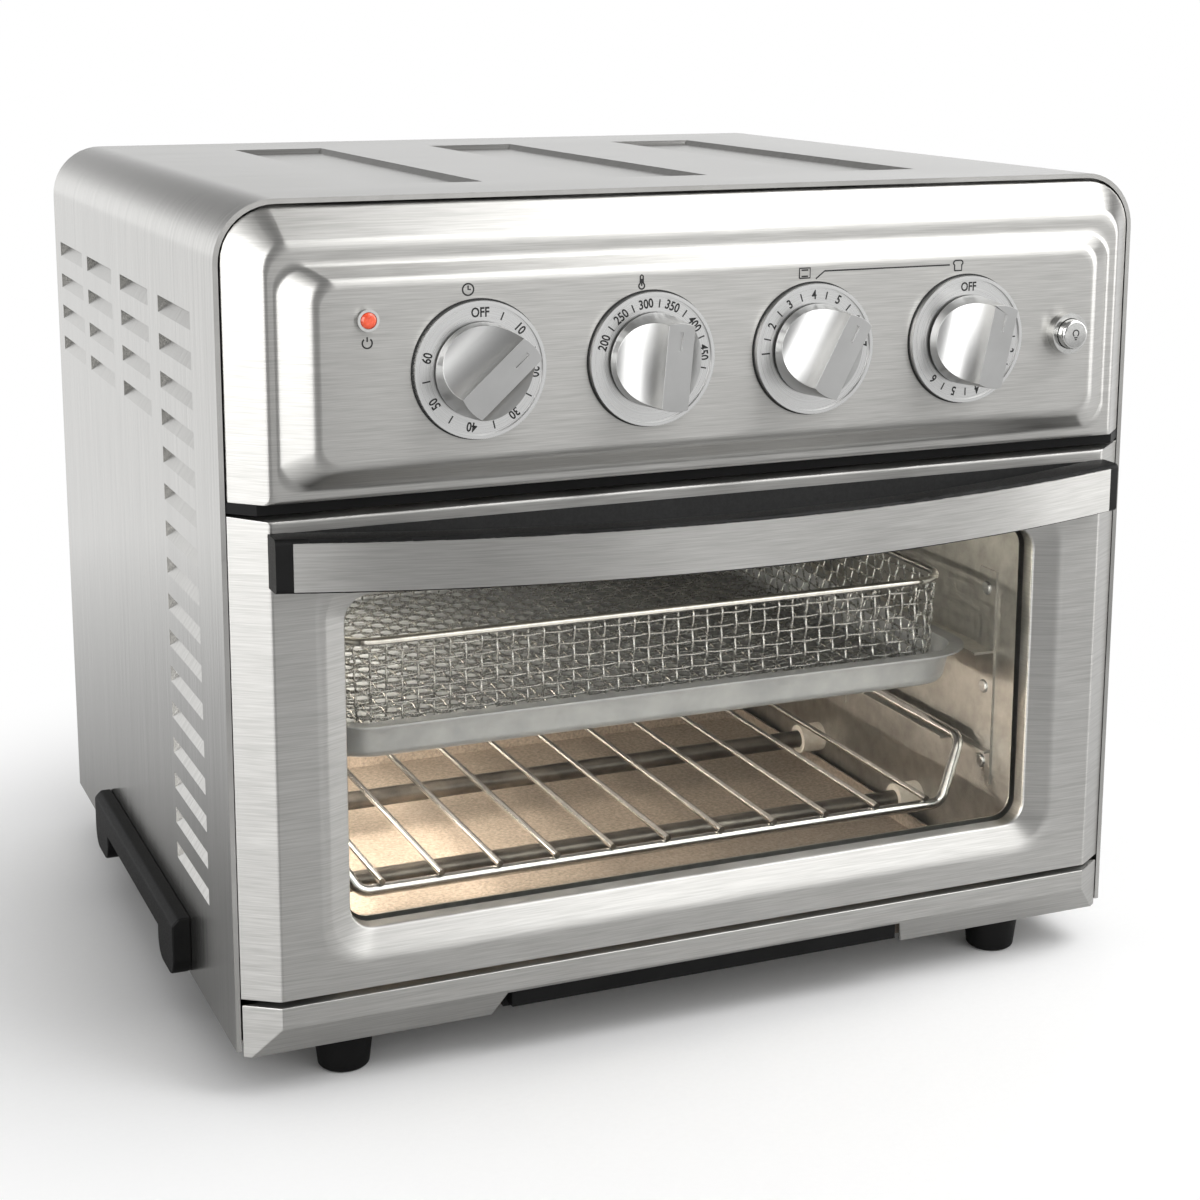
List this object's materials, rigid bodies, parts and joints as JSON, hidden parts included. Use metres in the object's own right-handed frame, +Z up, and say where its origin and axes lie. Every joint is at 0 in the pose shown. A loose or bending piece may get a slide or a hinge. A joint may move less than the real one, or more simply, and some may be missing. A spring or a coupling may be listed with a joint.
{
  "type": "toaster oven",
  "caption": "Countertop convection toaster oven with a drop-down glass door, bowed handle, dials, wire rack, baking pan and mesh air-fry basket over a pull-out crumb tray.",
  "frame": {"origin": "middle of the footprint, on the surface that the feet stand on", "axes": "+X across to the right seen from the front, +Y from the door to the rear, +Z up"},
  "size_m": [0.422, 0.394, 0.355],
  "materials": {
    "brushed_stainless": "brushed",
    "dial_metal": "satin, spun",
    "bright_plating": "polished",
    "plated_wire": "plated",
    "woven_wire": "plated",
    "galvanised_sheet": "galvanised",
    "enamelled_pan": "satin",
    "crumb_sheet": "matte",
    "black_plastic": "moulded",
    "gland_plastic": "moulded",
    "window_glass": "clear",
    "pilot_red": "clear moulded",
    "heater_sheath": "oxidised",
    "ceramic": "fired",
    "fastener_steel": "plated",
    "unit_case": "plated"
  },
  "bodies": {
    "cabinet": {"outer_wrap": "brushed_stainless", "control_fascia": "brushed_stainless", "dial_plates": "dial_metal", "bezels": "bright_plating", "front_frame": "galvanised_sheet", "cavity_left_wall": "galvanised_sheet", "cavity_right_wall": "galvanised_sheet", "cavity_ceiling": "galvanised_sheet", "cavity_back": "galvanised_sheet", "rack_guide_left": "galvanised_sheet", "rack_guide_right": "galvanised_sheet", "fan_guard": "galvanised_sheet", "base_plate": "galvanised_sheet", "rear_panel": "galvanised_sheet", "lamp_holder": "galvanised_sheet", "hinge_brackets": "galvanised_sheet", "feet": "black_plastic", "side_grip_left": "black_plastic", "side_grip_right": "black_plastic", "shadow_strip": "black_plastic", "cord_gland": "gland_plastic", "lamp_cover": "window_glass", "lamp_bulb": "window_glass", "pilot_lens": "pilot_red", "lower_heaters": "heater_sheath", "upper_heaters": "heater_sheath", "heater_insulators": "ceramic", "rear_screws": "fastener_steel", "foot_screws": "fastener_steel", "guide_rivets": "fastener_steel", "timer_unit": "unit_case", "thermostat_unit": "unit_case", "function_unit": "unit_case", "toast_unit": "unit_case", "light_switch": "unit_case", "fan_motor": "unit_case"},
    "door": {"door_skin": "brushed_stainless", "door_liner": "galvanised_sheet", "door_glass": "window_glass", "hinge_pins": "fastener_steel", "handle_core": "black_plastic", "handle_strip": "brushed_stainless"},
    "crumb_tray": {"crumb_tray_front": "brushed_stainless", "crumb_tray_grip": "black_plastic", "crumb_tray_pan": "crumb_sheet"},
    "timer_dial": {"timer_knob": "dial_metal", "timer_shaft": "fastener_steel"},
    "thermostat_dial": {"thermostat_knob": "dial_metal", "thermostat_shaft": "fastener_steel"},
    "function_dial": {"function_knob": "dial_metal", "function_shaft": "fastener_steel"},
    "toast_dial": {"toast_knob": "dial_metal", "toast_shaft": "fastener_steel"},
    "lamp_button": {"light_button": "bright_plating"},
    "fan": {"fan_rotor": "galvanised_sheet"},
    "rack": {"rack_frame": "plated_wire", "rack_slats": "plated_wire"},
    "pan": {"baking_pan": "enamelled_pan"},
    "basket": {"basket_mesh": "woven_wire", "basket_rim": "plated_wire"}
  },
  "joints": [
    {"name": "door_hinge", "type": "hinge", "parent": "cabinet", "child": "door", "pos_m": [0, -0.1477, 0.046], "axis": [1, 0, 0], "range_deg": [0, 88]},
    {"name": "crumb_tray_slide", "type": "slide", "parent": "cabinet", "child": "crumb_tray", "axis": [0, -1, 0], "range_m": [0, 0.15]},
    {"name": "timer_turn", "type": "hinge", "parent": "cabinet", "child": "timer_dial", "pos_m": [-0.10695, -0.163, 0.29], "axis": [0, 1, 0], "range_deg": [-48, 237]},
    {"name": "thermostat_turn", "type": "hinge", "parent": "cabinet", "child": "thermostat_dial", "pos_m": [-0.03565, -0.163, 0.29], "axis": [0, 1, 0], "range_deg": [-115, 110]},
    {"name": "function_turn", "type": "hinge", "parent": "cabinet", "child": "function_dial", "pos_m": [0.03565, -0.163, 0.29], "axis": [0, 1, 0], "range_deg": [-128, 57]},
    {"name": "toast_turn", "type": "hinge", "parent": "cabinet", "child": "toast_dial", "pos_m": [0.10695, -0.163, 0.29], "axis": [0, 1, 0], "range_deg": [-12, 223]},
    {"name": "lamp_button_press", "type": "slide", "parent": "cabinet", "child": "lamp_button", "axis": [0, 1, 0], "range_m": [0, 0.003], "stiffness_N_per_m": 400},
    {"name": "fan_spin", "type": "hinge", "parent": "cabinet", "child": "fan", "pos_m": [0, 0.0075, 0.22], "axis": [0, 0, 1], "continuous": true},
    {"name": "rack_slide", "type": "slide", "parent": "cabinet", "child": "rack", "axis": [0, -1, 0], "range_m": [0, 0.012]},
    {"name": "pan_slide", "type": "slide", "parent": "cabinet", "child": "pan", "axis": [0, -1, 0], "range_m": [0, 0.012]},
    {"name": "basket_lift", "type": "slide", "parent": "pan", "child": "basket", "axis": [0, 0, 1], "range_m": [0, 0.03]}
  ]
}
